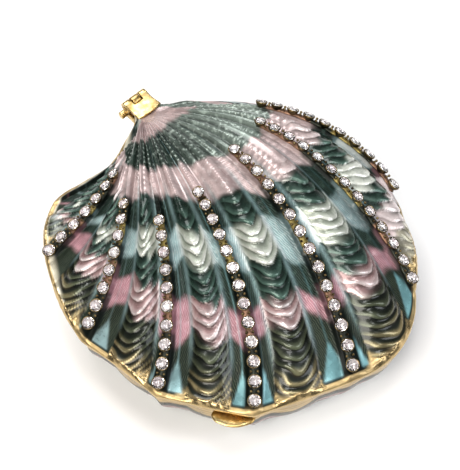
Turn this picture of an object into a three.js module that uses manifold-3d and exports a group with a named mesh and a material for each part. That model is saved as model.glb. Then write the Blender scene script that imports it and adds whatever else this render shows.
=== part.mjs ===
// Hinged trinket box in the form of a scallop: a ribbed, domed lid set with rows of stones, on a bowl-shaped base.
// Millimetres, +Z up. The hinge pin runs along X at the beak, and the lip faces -Y.
import * as THREE from "three";
import { mergeVertices } from "three/addons/utils/BufferGeometryUtils.js";
import Module from "manifold-3d";

const wasm = await Module();
wasm.setup();

// The shell
const shellWidth = 64.5;
const shellLength = 70.8;
const crownHeight = 12;
const leastCrown = 0.1;
const baseDepth = 13;
const lidWall = 1.6;
const baseWall = 2.2;
const floorThickness = 2.6;
const rimEdge = 1;
const baseLip = 1;
const seamGap = 0.3;

// The carving of the lid and the fluting of the base
const stoneRibHeight = 1.1;
const festoonHeight = 1.9;
const sideRibHeight = 0.6;
const fluteDepth = 0.7;

// The flat foot that the base rests on
const footWidth = 34;
const footLength = 45;
const footAcross = -9;
const footAlong = -36;
const footCentre = new THREE.Vector2(footAcross, footAlong);

// The stones and their settings
const stoneDiameter = 2.4;
const stoneHeight = 0.75;
const cupHeight = 1;
const cupWall = 0.2;
const settingWidth = 1.7;
const settingThickness = 0.5;
const fitGap = 0.25;

// The hinge
const pinDiameter = 0.8;
const pinOverhang = 0.1;
const pinClearance = 0.05;
const knuckleDiameter = 2.3;
const outerKnuckle = 1.6;
const middleKnuckle = 1.7;
const knuckleGap = 0.25;
const hingeCentreX = 0.5;
const hingeY = 0.8;
const hingeZ = 1.1;
const leafThickness = 0.7;
const plateReach = 4.2;
const plateRise = 1.2;
const plateFrontWidth = 5.8;
const webWidth = 5;
const webThickness = 1.5;
const rolledEdgeDiameter = 1.5;
const rolledEdgeOverhang = 0.9;

// The finger lip at the front of the base
const lipStation = 2.8;
const lipWidth = 8;
const lipReach = 2.2;
const lipThickness = 1;

// Stations round the rim, seen from above, as shares of the shell's width and length. Each holds its rim point,
// the crown of the dome on the line from the beak to that point, and how that line bulges and sways sideways.
const stations = [
  { rim: [0, 0.011], crown: 0.03, bulge: 0, sway: 0 },
  { rim: [-0.072, 0.06], crown: 0.08, bulge: 0, sway: 0 },
  { rim: [-0.225, 0.104], crown: 0.13, bulge: 0.6, sway: 0.05 },
  { rim: [-0.395, 0.088], crown: 0.2, bulge: 0.75, sway: 0.1 },
  { rim: [-0.535, 0.205], crown: 0.375, bulge: 0.55, sway: 0.07 },
  { rim: [-0.628, 0.452], crown: 0.56, bulge: 0.26, sway: -0.14 },
  { rim: [-0.586, 0.699], crown: 0.73, bulge: 0.18, sway: -0.21 },
  { rim: [-0.426, 0.904], crown: 0.88, bulge: 0.22, sway: -0.2 },
  { rim: [-0.14, 1], crown: 1, bulge: 0.32, sway: -0.04 },
  { rim: [0.178, 0.918], crown: 0.775, bulge: 0.39, sway: 0 },
  { rim: [0.338, 0.706], crown: 0.525, bulge: 0.45, sway: -0.28 },
  { rim: [0.372, 0.48], crown: 0.37, bulge: 0.06, sway: -0.2 },
  { rim: [0.318, 0.275], crown: 0.22, bulge: 0, sway: 0 },
  { rim: [0.171, 0.134], crown: 0.11, bulge: 0, sway: 0 },
  { rim: [0.07, 0.056], crown: 0.03, bulge: 0, sway: 0 },
];
const firstRow = 4;
const beakAcross = -0.3;
const beakAlong = -2.5;
const beak = new THREE.Vector2(beakAcross, beakAlong);
// How the dome swells from the beak and falls to the rim
const nearPower = 1;
const farPower = 1.375;

// How far the rim swells out, or is drawn in, midway between two rows of stones
const lobeDepth = 1.3;
const rimLobes = [0, -1, -0.85, -1, 1.7, 0].map((share) => share * lobeDepth);

// Rows of stones: how many, and the shares of the line from the beak at which the first and last one sit
const stoneRows = [
  { name: "a", count: 7, first: 0.485, last: 0.97 },
  { name: "b", count: 8, first: 0.5, last: 0.945 },
  { name: "c", count: 10, first: 0.495, last: 0.97 },
  { name: "d", count: 13, first: 0.405, last: 0.97 },
  { name: "e", count: 14, first: 0.345, last: 0.97 },
  { name: "f", count: 13, first: 0.365, last: 0.97 },
  { name: "g", count: 10, first: 0.42, last: 0.94 },
];
const rowSpread = 1.04;

// A closed curve through one value per station
function blend(values, s) {
  const count = values.length;
  const place = (((s + firstRow) % count) + count) % count;
  const i = Math.floor(place);
  const f = place - i;
  const [a, b, c, d] = [-1, 0, 1, 2].map((k) => values[(i + k + count) % count]);
  const slope = c - a;
  return 0.5 * (2 * b + slope * f + (2 * a - 5 * b + 4 * c - d) * f * f + (3 * b - a - 3 * c + d) * f * f * f);
}

const rimAcross = stations.map((station) => station.rim[0] * shellWidth);
const rimAlong = stations.map((station) => -station.rim[1] * shellLength);
const crowns = stations.map((station) => station.crown * crownHeight);
const bulges = stations.map((station) => station.bulge);
const sways = stations.map((station) => station.sway);

// The point where line s meets the rim, pushed outwards by a distance
function rimPoint(s, outwards = 0) {
  const step = 0.02;
  const before = new THREE.Vector2(blend(rimAcross, s - step), blend(rimAlong, s - step));
  const after = new THREE.Vector2(blend(rimAcross, s + step), blend(rimAlong, s + step));
  const along = after.sub(before).normalize();
  const row = Math.floor(s);
  const lobe = rimLobes[row] ? rimLobes[row] * Math.sin(Math.PI * (s - row)) : 0;
  const point = new THREE.Vector2(blend(rimAcross, s), blend(rimAlong, s));
  return point.add(new THREE.Vector2(-along.y, along.x).multiplyScalar(-outwards - lobe));
}

// A dome spread over lines from the beak to the rim; t runs from 0 at the beak to 1 at the rim
const domeTop = nearPower / (nearPower + farPower);
const domePeak = domeTop ** nearPower * (1 - domeTop) ** farPower;
function domePoint(s, t, { centre = beak, inset = 0, drop = 0, edge = rimEdge } = {}) {
  const rim = rimPoint(s, -inset);
  const line = rim.clone().sub(centre);
  const sideways = t * (1 - t) * (blend(bulges, s) + blend(sways, s) * (1 - 2 * t));
  const plan = centre.clone().addScaledVector(line, t).add(new THREE.Vector2(-line.y, line.x).multiplyScalar(sideways));
  const crown = Math.max(blend(crowns, s) - drop, leastCrown);
  const swell = (t ** nearPower * (1 - t) ** farPower) / domePeak;
  return new THREE.Vector3(plan.x, plan.y, edge + crown * swell);
}

// The direction straight out of the dome
function domeNormal(s, t) {
  const step = 0.01;
  const inner = Math.max(t, 2 * step);
  const outer = Math.min(inner, 1 - step);
  const across = domePoint(s + step, outer).sub(domePoint(s - step, outer));
  const along = domePoint(s, outer + step).sub(domePoint(s, outer - step));
  return along.cross(across).normalize();
}

function smooth(from, to, value) {
  return THREE.MathUtils.smoothstep(value, from, to);
}

// Height of the carving: a narrow rib under each row of stones, a broad festooned rib between, and low side ribs
const ribProfile = [
  [0, stoneRibHeight],
  [0.13, 0.35 * stoneRibHeight],
  [0.24, 0],
  [0.37, 0.8 * festoonHeight],
  [0.5, festoonHeight],
  [0.63, 0.8 * festoonHeight],
  [0.76, 0],
  [0.87, sideRibHeight],
];
const plainProfile = [
  [0, 0],
  [0.33, 0.8 * sideRibHeight],
  [0.67, 0.8 * sideRibHeight],
];
function carvedProfile(row) {
  return row >= -1 && row <= stoneRows.length - 1 ? ribProfile : plainProfile;
}
function carvedHeight(height, t) {
  return height * smooth(0.04, 0.45, t) * (1 - 0.65 * smooth(0.88, 1, t));
}

// Columns round the shell: the place of each one and how far it stands out
function shellColumns() {
  const columns = [];
  for (let row = -firstRow; row < stations.length - firstRow; row += 1) {
    for (const [share, height] of carvedProfile(row)) columns.push({ s: row + share, height });
  }
  return columns;
}

// A closed solid between two stacks of rings. The first and the last entries are single points.
function solidFromRings(rings) {
  const positions = [];
  const starts = rings.map((ring) => {
    const start = positions.length / 3;
    ring.forEach((point) => positions.push(point.x, point.y, point.z));
    return start;
  });
  const index = [];
  for (let k = 0; k + 1 < rings.length; k += 1) {
    const [a, b] = [rings[k], rings[k + 1]];
    const count = Math.max(a.length, b.length);
    for (let i = 0; i < count; i += 1) {
      const j = (i + 1) % count;
      const [a0, a1] = a.length === 1 ? [0, 0] : [i, j];
      const [b0, b1] = b.length === 1 ? [0, 0] : [i, j];
      if (b.length > 1) index.push(starts[k] + a0, starts[k + 1] + b0, starts[k + 1] + b1);
      if (a.length > 1) index.push(starts[k] + a0, starts[k + 1] + b1, starts[k] + a1);
    }
  }
  const geometry = new THREE.BufferGeometry();
  geometry.setAttribute("position", new THREE.Float32BufferAttribute(positions, 3));
  geometry.setIndex(index);
  return geometry;
}

function solidOf(geometry) {
  const bare = geometry.clone();
  bare.deleteAttribute("normal");
  bare.deleteAttribute("uv");
  const merged = mergeVertices(bare, 1e-4);
  const vertProperties = new Float32Array(merged.attributes.position.array);
  return new wasm.Manifold(new wasm.Mesh({ numProp: 3, vertProperties, triVerts: new Uint32Array(merged.index.array) }));
}

function geometryOf(solid) {
  const { vertProperties, triVerts } = solid.getMesh();
  const geometry = new THREE.BufferGeometry();
  geometry.setAttribute("position", new THREE.Float32BufferAttribute(vertProperties, 3));
  geometry.setIndex(new THREE.Uint32BufferAttribute(triVerts, 1));
  return geometry;
}

const columns = shellColumns();
const outerShares = [0.04, 0.09, 0.16, 0.24, 0.33, 0.42, 0.51, 0.6, 0.69, 0.77, 0.85, 0.91, 0.96, 1];
const innerShares = [1, 0.9, 0.66, 0.3];
const innerBeakAcross = -0.5;
const innerBeakAlong = -6;
const innerBeak = new THREE.Vector2(innerBeakAcross, innerBeakAlong);

function carvedPoint(s, t, height) {
  return domePoint(s, t).addScaledVector(domeNormal(s, t), carvedHeight(height, t));
}

// Lid: the carved dome outside, an upright rim edge, and a plain hollow inside
function lidShell() {
  const outside = outerShares.map((t) => columns.map(({ s, height }) => carvedPoint(s, t, height)));
  const rimTop = outside[outside.length - 1];
  rimTop.forEach((point) => point.setZ(rimEdge));
  const rimFoot = rimTop.map((point) => point.clone().setZ(seamGap / 2));
  const hollow = { centre: innerBeak, inset: lidWall, drop: lidWall, edge: seamGap / 2 };
  const inside = innerShares.map((t) => columns.map(({ s }) => domePoint(s, t, hollow)));
  return solidFromRings([
    [domePoint(0, 0)],
    ...outside,
    rimFoot,
    ...inside,
    [domePoint(0, 0, { ...hollow, edge: seamGap / 2 })],
  ]);
}

// Base: the foot's oval swept out to the rim, fluted in step with the lid
const bowlAngles = [0, 18, 40, 65, 90];
const bowlFullness = 0.62;
function bowlPoint(rim, angle, { depth, foot, top }) {
  const turn = THREE.MathUtils.degToRad(angle);
  const heading = Math.atan2(rim.y - footCentre.y, rim.x - footCentre.x);
  const oval = new THREE.Vector2(Math.cos(heading) * foot.x, Math.sin(heading) * foot.y).add(footCentre);
  const spread = Math.cos(turn) ** bowlFullness;
  const plan = oval.lerp(rim, spread);
  return new THREE.Vector3(plan.x, plan.y, top - depth * Math.sin(turn));
}

const baseInset = 0.5;
function baseShell() {
  const top = -seamGap / 2;
  const outerFoot = new THREE.Vector2(footWidth / 2, footLength / 2);
  const innerFoot = outerFoot.clone().subScalar(0.5 * baseWall);
  const rimTop = columns.map(({ s, height }) => {
    const share = Math.min(height / festoonHeight, 1);
    return rimPoint(s, (share - 1) * fluteDepth - baseInset);
  });
  const bowlTop = top - baseLip;
  const outside = bowlAngles.map((angle) =>
    rimTop.map((rim) => bowlPoint(rim, angle, { depth: baseDepth + bowlTop, foot: outerFoot, top: bowlTop })),
  );
  const rimRing = rimTop.map((rim) => new THREE.Vector3(rim.x, rim.y, top));
  const hollowRim = columns.map(({ s }) => rimPoint(s, -baseWall - baseInset));
  const hollowDepth = baseDepth + top - floorThickness;
  const inside = bowlAngles.map((angle) =>
    hollowRim.map((rim) => bowlPoint(rim, angle, { depth: hollowDepth, foot: innerFoot, top })),
  );
  const under = new THREE.Vector3(footCentre.x, footCentre.y, -baseDepth);
  const floor = new THREE.Vector3(footCentre.x, footCentre.y, top - hollowDepth);
  const shell = solidOf(solidFromRings([[floor], ...inside.reverse(), rimRing, ...outside, [under]]));
  return geometryOf(shell.add(fingerLip(top)));
}

// The petal-shaped lip that a finger lifts the lid at
function fingerLip(top) {
  const root = rimPoint(lipStation, -baseWall);
  const tip = rimPoint(lipStation, lipReach);
  const across = tip.clone().sub(root).rotateAround(new THREE.Vector2(), Math.PI / 2).setLength(lipWidth / 2);
  const shape = new THREE.Shape();
  shape.moveTo(root.x - across.x, root.y - across.y);
  shape.quadraticCurveTo(tip.x - 0.8 * across.x, tip.y - 0.8 * across.y, tip.x, tip.y);
  shape.quadraticCurveTo(tip.x + 0.8 * across.x, tip.y + 0.8 * across.y, root.x + across.x, root.y + across.y);
  shape.closePath();
  const lip = new THREE.ExtrudeGeometry(shape, { depth: lipThickness, bevelEnabled: false, curveSegments: 6 });
  lip.translate(0, 0, top - lipThickness - seamGap);
  return solidOf(lip);
}

// Knuckles and pin lie along X, about the hinge axis
const barrelLength = 2 * outerKnuckle + middleKnuckle + 2 * knuckleGap;
const barrelStart = hingeCentreX - barrelLength / 2;
function barAlongX(diameter, start, length, sides = 16, y = hingeY, z = hingeZ) {
  const bar = new THREE.CylinderGeometry(diameter / 2, diameter / 2, length, sides);
  bar.rotateZ(Math.PI / 2);
  bar.translate(start + length / 2, y, z);
  return solidOf(bar);
}
function pinBore() {
  const boreDiameter = pinDiameter + 2 * pinClearance;
  return barAlongX(boreDiameter, barrelStart - pinDiameter, barrelLength + 2 * pinDiameter);
}

// A leaf cut to a plan or side outline, between two distances
function slabAcross(outline, halfWidths) {
  const [back, front] = halfWidths;
  const rings = outline.map(([y, z], i) => ({ y, z, half: i === 0 || i === outline.length - 1 ? back : front }));
  const shape = new THREE.Shape(rings.map(({ y, z }) => new THREE.Vector2(y, z)));
  const slab = new THREE.ExtrudeGeometry(shape, { depth: 1, bevelEnabled: false });
  const place = slab.attributes.position;
  for (let i = 0; i < place.count; i += 1) {
    const [y, z, side] = [place.getX(i), place.getY(i), place.getZ(i) - 0.5];
    const reach = THREE.MathUtils.clamp((hingeY - y) / plateReach, 0, 1);
    place.setXYZ(i, hingeCentreX + side * 2 * THREE.MathUtils.lerp(back, front, reach), y, z);
  }
  return solidOf(slab);
}

// The lid's plate rises from the two outer knuckles over the beak
function lidHinge() {
  const low = hingeZ + knuckleDiameter / 2 - leafThickness;
  const front = hingeY - plateReach;
  const outline = [
    [hingeY, low],
    [hingeY, low + leafThickness],
    [hingeY - 0.5 * plateReach, low + 0.35 * plateRise + leafThickness],
    [front, low + plateRise + 0.6 * leafThickness],
    [front, low + plateRise],
    [hingeY - 0.5 * plateReach, low + 0.35 * plateRise],
  ];
  const plate = slabAcross(outline, [barrelLength / 2, plateFrontWidth / 2]);
  const middle = barAlongX(
    knuckleDiameter + 2 * knuckleGap,
    barrelStart + outerKnuckle,
    middleKnuckle + 2 * knuckleGap,
  );
  const left = barAlongX(knuckleDiameter, barrelStart, outerKnuckle);
  const right = barAlongX(knuckleDiameter, barrelStart + barrelLength - outerKnuckle, outerKnuckle);
  return geometryOf(plate.add(left).add(right).subtract(middle).subtract(pinBore()));
}

// The base's knuckle stands on a web behind the shell, with a rolled edge along its back
function baseHinge() {
  const start = barrelStart + outerKnuckle + knuckleGap;
  const knuckle = barAlongX(knuckleDiameter, start, middleKnuckle);
  const webTop = hingeZ - knuckleDiameter / 2 - knuckleGap;
  const webFront = rimPoint(-firstRow, -baseInset - fluteDepth).y + seamGap;
  const webBack = hingeY + leafThickness;
  const web = new THREE.BoxGeometry(webWidth, webBack - webFront, webThickness);
  web.translate(hingeCentreX, (webFront + webBack) / 2, webTop - webThickness / 2);
  const neck = new THREE.BoxGeometry(middleKnuckle, leafThickness, hingeZ - webTop + webThickness / 2);
  neck.translate(start + middleKnuckle / 2, hingeY + leafThickness / 2, (hingeZ + webTop - webThickness / 2) / 2);
  const roll = barAlongX(
    rolledEdgeDiameter,
    barrelStart - rolledEdgeOverhang,
    barrelLength + 2 * rolledEdgeOverhang,
    12,
    hingeY + leafThickness / 2,
    webTop - rolledEdgeDiameter / 2,
  );
  return geometryOf(knuckle.add(solidOf(neck)).subtract(pinBore()).add(solidOf(web)).add(roll));
}

function hingePin() {
  return geometryOf(barAlongX(pinDiameter, barrelStart - pinOverhang, barrelLength + 2 * pinOverhang));
}

// A row of stones: a setting strip along the rib, and on it a cup and a cut stone at each place
function stoneSeat(s, t) {
  const up = domeNormal(s, t);
  const lift = carvedHeight(stoneRibHeight, t) + fitGap;
  return { foot: domePoint(s, t).addScaledVector(up, lift), up };
}

function stoneRow(row, s) {
  const side = new THREE.Vector3();
  const rings = [];
  const steps = row.count;
  const margin = stoneDiameter / 3 / shellLength;
  for (let i = 0; i <= steps; i += 1) {
    const t = THREE.MathUtils.lerp(row.first - margin, Math.min(row.last + margin, 0.99), i / steps);
    const { foot, up } = stoneSeat(s, t);
    const ahead = stoneSeat(s, Math.min(t + 0.01, 1)).foot.sub(stoneSeat(s, t - 0.01).foot).normalize();
    side.crossVectors(ahead, up).normalize();
    const [left, right] = [-0.5, 0.5].map((share) => foot.clone().addScaledVector(side, share * settingWidth));
    const [leftTop, rightTop] = [left, right].map((point) => point.clone().addScaledVector(up, settingThickness));
    rings.push([left, right, rightTop, leftTop]);
  }
  const middleOf = (ring) => ring.reduce((sum, point) => sum.add(point), new THREE.Vector3()).multiplyScalar(0.25);
  const strip = solidFromRings([[middleOf(rings[0])], ...rings, [middleOf(rings[steps])]]);
  let body = solidOf(strip);
  const radius = stoneDiameter / 2;
  const cup = new THREE.LatheGeometry(
    [
      new THREE.Vector2(0, 0),
      new THREE.Vector2(radius + cupWall, cupHeight),
      new THREE.Vector2(0.55 * radius, cupHeight + stoneHeight),
      new THREE.Vector2(0, cupHeight + stoneHeight),
    ],
    6,
  );
  for (let i = 0; i < row.count; i += 1) {
    const share = (i / (row.count - 1)) ** rowSpread;
    const { foot, up } = stoneSeat(s, THREE.MathUtils.lerp(row.first, row.last, share));
    const turn = new THREE.Quaternion().setFromUnitVectors(new THREE.Vector3(0, 1, 0), up);
    const seat = new THREE.Matrix4().compose(foot, turn, new THREE.Vector3(1, 1, 1));
    body = body.add(solidOf(cup.clone().applyMatrix4(seat)));
  }
  return geometryOf(body);
}

const enamel = new THREE.MeshStandardMaterial({ color: 0x2b4a42, roughness: 0.3, metalness: 0.3 });
const gold = new THREE.MeshStandardMaterial({ color: 0xd4ae5a, roughness: 0.22, metalness: 1 });
const crystal = new THREE.MeshStandardMaterial({ color: 0xf2ecec, roughness: 0.05, metalness: 0 });

const pieces = {
  base_shell: [baseShell(), enamel],
  base_hinge: [baseHinge(), gold],
  hinge_pin: [hingePin(), gold],
  lid_shell: [lidShell(), enamel],
  lid_hinge: [lidHinge(), gold],
};
stoneRows.forEach((row, s) => {
  pieces["stone_row_" + row.name] = [stoneRow(row, s), crystal];
});

// The origin is the middle of the flat foot, on the surface that the box stands on
const shellBox = new THREE.Group();
shellBox.position.set(-footCentre.x, -footCentre.y, baseDepth);
for (const [name, [geometry, material]] of Object.entries(pieces)) {
  const mesh = new THREE.Mesh(geometry, material.clone());
  mesh.name = name;
  shellBox.add(mesh);
}

export default shellBox;
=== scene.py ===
import bmesh
import bpy
import math
import random
import numpy as np
from mathutils import Matrix, Vector


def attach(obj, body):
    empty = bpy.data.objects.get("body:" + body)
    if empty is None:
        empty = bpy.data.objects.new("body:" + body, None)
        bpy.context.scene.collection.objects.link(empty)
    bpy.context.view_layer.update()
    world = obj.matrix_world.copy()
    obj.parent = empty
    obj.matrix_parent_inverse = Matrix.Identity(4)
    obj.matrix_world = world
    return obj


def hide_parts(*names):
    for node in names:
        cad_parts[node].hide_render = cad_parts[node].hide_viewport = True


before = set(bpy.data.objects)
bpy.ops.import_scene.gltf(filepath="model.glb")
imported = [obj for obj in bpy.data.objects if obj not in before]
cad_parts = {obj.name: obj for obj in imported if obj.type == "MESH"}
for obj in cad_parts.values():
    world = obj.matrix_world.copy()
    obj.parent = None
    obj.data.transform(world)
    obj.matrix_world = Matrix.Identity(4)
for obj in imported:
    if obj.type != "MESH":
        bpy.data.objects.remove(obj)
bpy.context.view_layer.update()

random.seed(11)

# Shell box: a scallop-shaped trinket box in pearly enamel and gold, set with rows of stones.
# The shell is worked out in millimetres about its hinge, as the CAD is, and moved to the frame at the end.
mm = 0.001
hingePlace = Vector((9.0, 36.0, 13.0))


def shade(code):
    parts = [int(code[i:i + 2], 16) / 255 for i in (1, 3, 5)]
    return np.array([p / 12.92 if p < 0.04045 else ((p + 0.055) / 1.055) ** 2.4 for p in parts])


def smooth(start, end, value):
    share = np.clip((value - start) / (end - start), 0, 1)
    return share * share * (3 - 2 * share)


def meshFrom(bm, name):
    mesh = bpy.data.meshes.new(name)
    bm.to_mesh(mesh)
    bm.free()
    return mesh


def smoothFaces(bm):
    for face in bm.faces:
        face.smooth = True


def toFrame(bm):   # from millimetres about the hinge to metres in the model's frame
    bmesh.ops.translate(bm, verts=bm.verts, vec=hingePlace)
    bmesh.ops.scale(bm, verts=bm.verts, vec=(mm, mm, mm))


# Camera, light and floor
studio = {
    "target": (2.14, 1.28, 16.72),   # mm
    "distance": 450,
    "azimuth": -41.83,
    "elevation": 59.93,
    "lens": 186.13,
    "floorSize": 3.0,
    "floorTone": "#f7f6f5",
    "worldTone": "#dfe3e6",
    "worldStrength": 0.22,
}


def makeCamera():
    data = bpy.data.cameras.new("photoCamera")
    data.sensor_width = 36
    data.lens = studio["lens"]
    data.clip_start = 0.05
    data.clip_end = 20
    camera = bpy.data.objects.new("photoCamera", data)
    bpy.context.scene.collection.objects.link(camera)
    turn = math.radians(studio["azimuth"])
    rise = math.radians(studio["elevation"])
    back = Vector((math.sin(turn) * math.cos(rise), -math.cos(turn) * math.cos(rise), math.sin(rise)))
    camera.location = (Vector(studio["target"]) + back * studio["distance"]) * mm
    camera.rotation_mode = "QUATERNION"
    camera.rotation_quaternion = (-back).to_track_quat("-Z", "Y")
    bpy.context.scene.camera = camera


def makeFloor():
    bm = bmesh.new()
    bmesh.ops.create_grid(bm, x_segments=2, y_segments=2, size=studio["floorSize"])
    mesh = meshFrom(bm, "floor")
    floor = bpy.data.objects.new("floor", mesh)
    bpy.context.scene.collection.objects.link(floor)
    floor.location.z = -0.0002
    material = bpy.data.materials.new("paleFloor")
    material.use_nodes = True
    surface = material.node_tree.nodes["Principled BSDF"]
    surface.inputs["Base Color"].default_value = (*shade(studio["floorTone"]), 1)
    surface.inputs["Roughness"].default_value = 0.7
    mesh.materials.append(material)


softLights = [
    # place round the box (azimuth, elevation, distance in m), size in m, watts, tint
    {"name": "keySoftbox", "place": (-70, 50, 0.62), "size": 0.34, "power": 3.4, "tint": "#fffaf3"},
    {"name": "fillSoftbox", "place": (35, 42, 0.7), "size": 0.36, "power": 2.0, "tint": "#f4f8ff"},
    {"name": "backSoftbox", "place": (165, 46, 0.7), "size": 0.4, "power": 3.2, "tint": "#ffffff"},
    {"name": "topSoftbox", "place": (0, 86, 0.7), "size": 0.16, "power": 1.0, "tint": "#ffffff"},
]


def makeLights():
    world = bpy.data.worlds.new("studioWorld")
    world.use_nodes = True
    glow = world.node_tree.nodes["Background"]
    glow.inputs["Color"].default_value = (*shade(studio["worldTone"]), 1)
    glow.inputs["Strength"].default_value = studio["worldStrength"]
    bpy.context.scene.world = world
    bpy.context.scene.view_settings.view_transform = "Standard"
    for light in softLights:
        data = bpy.data.lights.new(light["name"], "AREA")
        data.size = light["size"]
        data.energy = light["power"]
        data.color = tuple(shade(light["tint"]))
        lamp = bpy.data.objects.new(light["name"], data)
        bpy.context.scene.collection.objects.link(lamp)
        turn, rise, reach = light["place"]
        turn, rise = math.radians(turn), math.radians(rise)
        way = Vector((math.sin(turn) * math.cos(rise), -math.cos(turn) * math.cos(rise), math.sin(rise)))
        lamp.location = way * reach + Vector((0, 0, 0.015))
        lamp.rotation_mode = "QUATERNION"
        lamp.rotation_quaternion = way.to_track_quat("Z", "Y")


makeCamera()
makeFloor()
makeLights()
print("camera, floor and lights are in place")


# The shell's form
shell = {
    "width": 64.5, "length": 70.8, "crown": 12.0, "baseDepth": 13.0,
    "lidWall": 1.6, "baseWall": 2.2, "floorThickness": 2.6,
    "rimEdge": 1.0, "baseLip": 1.0, "seamGap": 0.3,
    "firstRow": 4,
    "beak": (-0.3, -2.5), "innerBeak": (-0.5, -6.0),
    "rise": 1.0, "fall": 1.375,
    "foot": (17.0, 22.5), "footCentre": (-9.0, -36.0),
    "bowlFullness": 0.62, "baseInset": 0.5, "fluteDepth": 0.7,
}

# Round the rim, seen from above: the rim point as shares of width and length, the crown, and how the line
# from the beak bulges and sways. Many of these were fitted to points read off the photo, then rounded.
stations = np.array([
    (0, 0.011, 0.03, 0, 0),
    (-0.072, 0.06, 0.08, 0, 0),
    (-0.225, 0.104, 0.13, 0.6, 0.05),
    (-0.395, 0.088, 0.2, 0.75, 0.1),
    (-0.535, 0.205, 0.375, 0.55, 0.07),
    (-0.628, 0.452, 0.56, 0.26, -0.14),
    (-0.586, 0.699, 0.73, 0.18, -0.21),
    (-0.426, 0.904, 0.88, 0.22, -0.2),
    (-0.14, 1, 1, 0.32, -0.04),
    (0.178, 0.918, 0.775, 0.39, 0),
    (0.338, 0.706, 0.525, 0.45, -0.28),
    (0.372, 0.48, 0.37, 0.06, -0.2),
    (0.318, 0.275, 0.22, 0, 0),
    (0.171, 0.134, 0.11, 0, 0),
    (0.07, 0.056, 0.03, 0, 0),
])
rimLobes = np.array([0, -1, -0.85, -1, 1.7, 0]) * 1.3   # mm
rimAcross = stations[:, 0] * shell["width"]
rimAlong = -stations[:, 1] * shell["length"]
crowns = stations[:, 2] * shell["crown"]


def blend(values, s, first=shell["firstRow"]):   # a closed smooth curve through one value per station
    count = len(values)
    place = (np.asarray(s, float) + first) % count
    i = np.floor(place).astype(int)
    f = place - i
    a, b, c, d = (values[(i + k) % count] for k in (-1, 0, 1, 2))
    curved = (2 * a - 5 * b + 4 * c - d) * f ** 2 + (3 * b - a - 3 * c + d) * f ** 3
    return 0.5 * (2 * b + (c - a) * f + curved)


def rimPoint(s, outwards=0.0):
    s = np.asarray(s, float)
    step = 0.02
    wayX = blend(rimAcross, s + step) - blend(rimAcross, s - step)
    wayY = blend(rimAlong, s + step) - blend(rimAlong, s - step)
    length = np.hypot(wayX, wayY)
    row = np.floor(s).astype(int)
    held = (row >= 0) & (row < len(rimLobes))
    lobe = np.where(held, rimLobes[np.clip(row, 0, len(rimLobes) - 1)], 0) * np.sin(math.pi * (s - row))
    push = -outwards - lobe
    x = blend(rimAcross, s) - wayY / length * push
    y = blend(rimAlong, s) + wayX / length * push
    return np.stack([x, y], -1)


def domePoint(s, t, centre=shell["beak"], inset=0.0, drop=0.0, edge=shell["rimEdge"]):
    s, t = np.broadcast_arrays(np.asarray(s, float), np.asarray(t, float))
    line = rimPoint(s, -inset) - centre
    sideways = t * (1 - t) * (blend(stations[:, 3], s) + blend(stations[:, 4], s) * (1 - 2 * t))
    x = centre[0] + line[..., 0] * t - line[..., 1] * sideways
    y = centre[1] + line[..., 1] * t + line[..., 0] * sideways
    rise, fall = shell["rise"], shell["fall"]
    top = rise / (rise + fall)
    peak = top ** rise * (1 - top) ** fall
    swell = t ** rise * np.clip(1 - t, 0, 1) ** fall / peak
    return np.stack([x, y, edge + np.maximum(blend(crowns, s) - drop, 0.1) * swell], -1)


def domeNormal(s, t):
    step = 0.01
    inner = np.clip(t, 2 * step, 1 - step)
    across = domePoint(s + step, inner) - domePoint(s - step, inner)
    along = domePoint(s, inner + step) - domePoint(s, inner - step)
    out = np.cross(along, across)
    return out / np.linalg.norm(out, axis=-1, keepdims=True)


def lineLength(s):   # rough run of a line from the beak to the rim, mm
    return np.hypot(*(rimPoint(s) - np.array(shell["beak"])).T).T


# The carving of the lid
carving = {
    "stoneRib": 1.1, "stoneRibHalf": 0.11,
    "festoon": 1.9,
    "sideRib": 0.35,
    "crestLine": 0.45, "crestHalf": 0.38,       # mm
    "lamellaPitch": 1.85, "lamellaDepth": 4.4, "lamellaRise": 2.6, "lamellaEven": 3.6,
    "lamellaHeight": 0.55,
    "strokePitch": 1.0, "strokeSlope": 2.8,
    "beakRibs": 4, "beakRibHeight": 0.42,
}
# Where the curves of each festoon hang lowest, as a share of its width
hangMiddle = {-1: 0.4, 0: 0.36, 1: 0.38, 2: 0.55, 3: 0.62, 4: 0.66, 5: 0.7, 6: 0.5}
# Where each festoon's two edges run between its rows of stones, as shares of the space
festoonEdges = {-1: (0.3, 0.8), 0: (0.33, 0.85), 1: (0.33, 0.84), 2: (0.28, 0.76), 3: (0.21, 0.69),
                4: (0.17, 0.66), 5: (0.14, 0.78), 6: (0.28, 0.78)}


def rowParts(s):   # the space a column lies in, its share across it, and the festoon's edges there
    row = np.floor(s + 1e-9).astype(int)
    share = s - row
    left = np.vectorize(lambda r: festoonEdges.get(r, (0.3, 0.75))[0])(row)
    right = np.vectorize(lambda r: festoonEdges.get(r, (0.3, 0.75))[1])(row)
    return row, share, left, right


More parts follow.
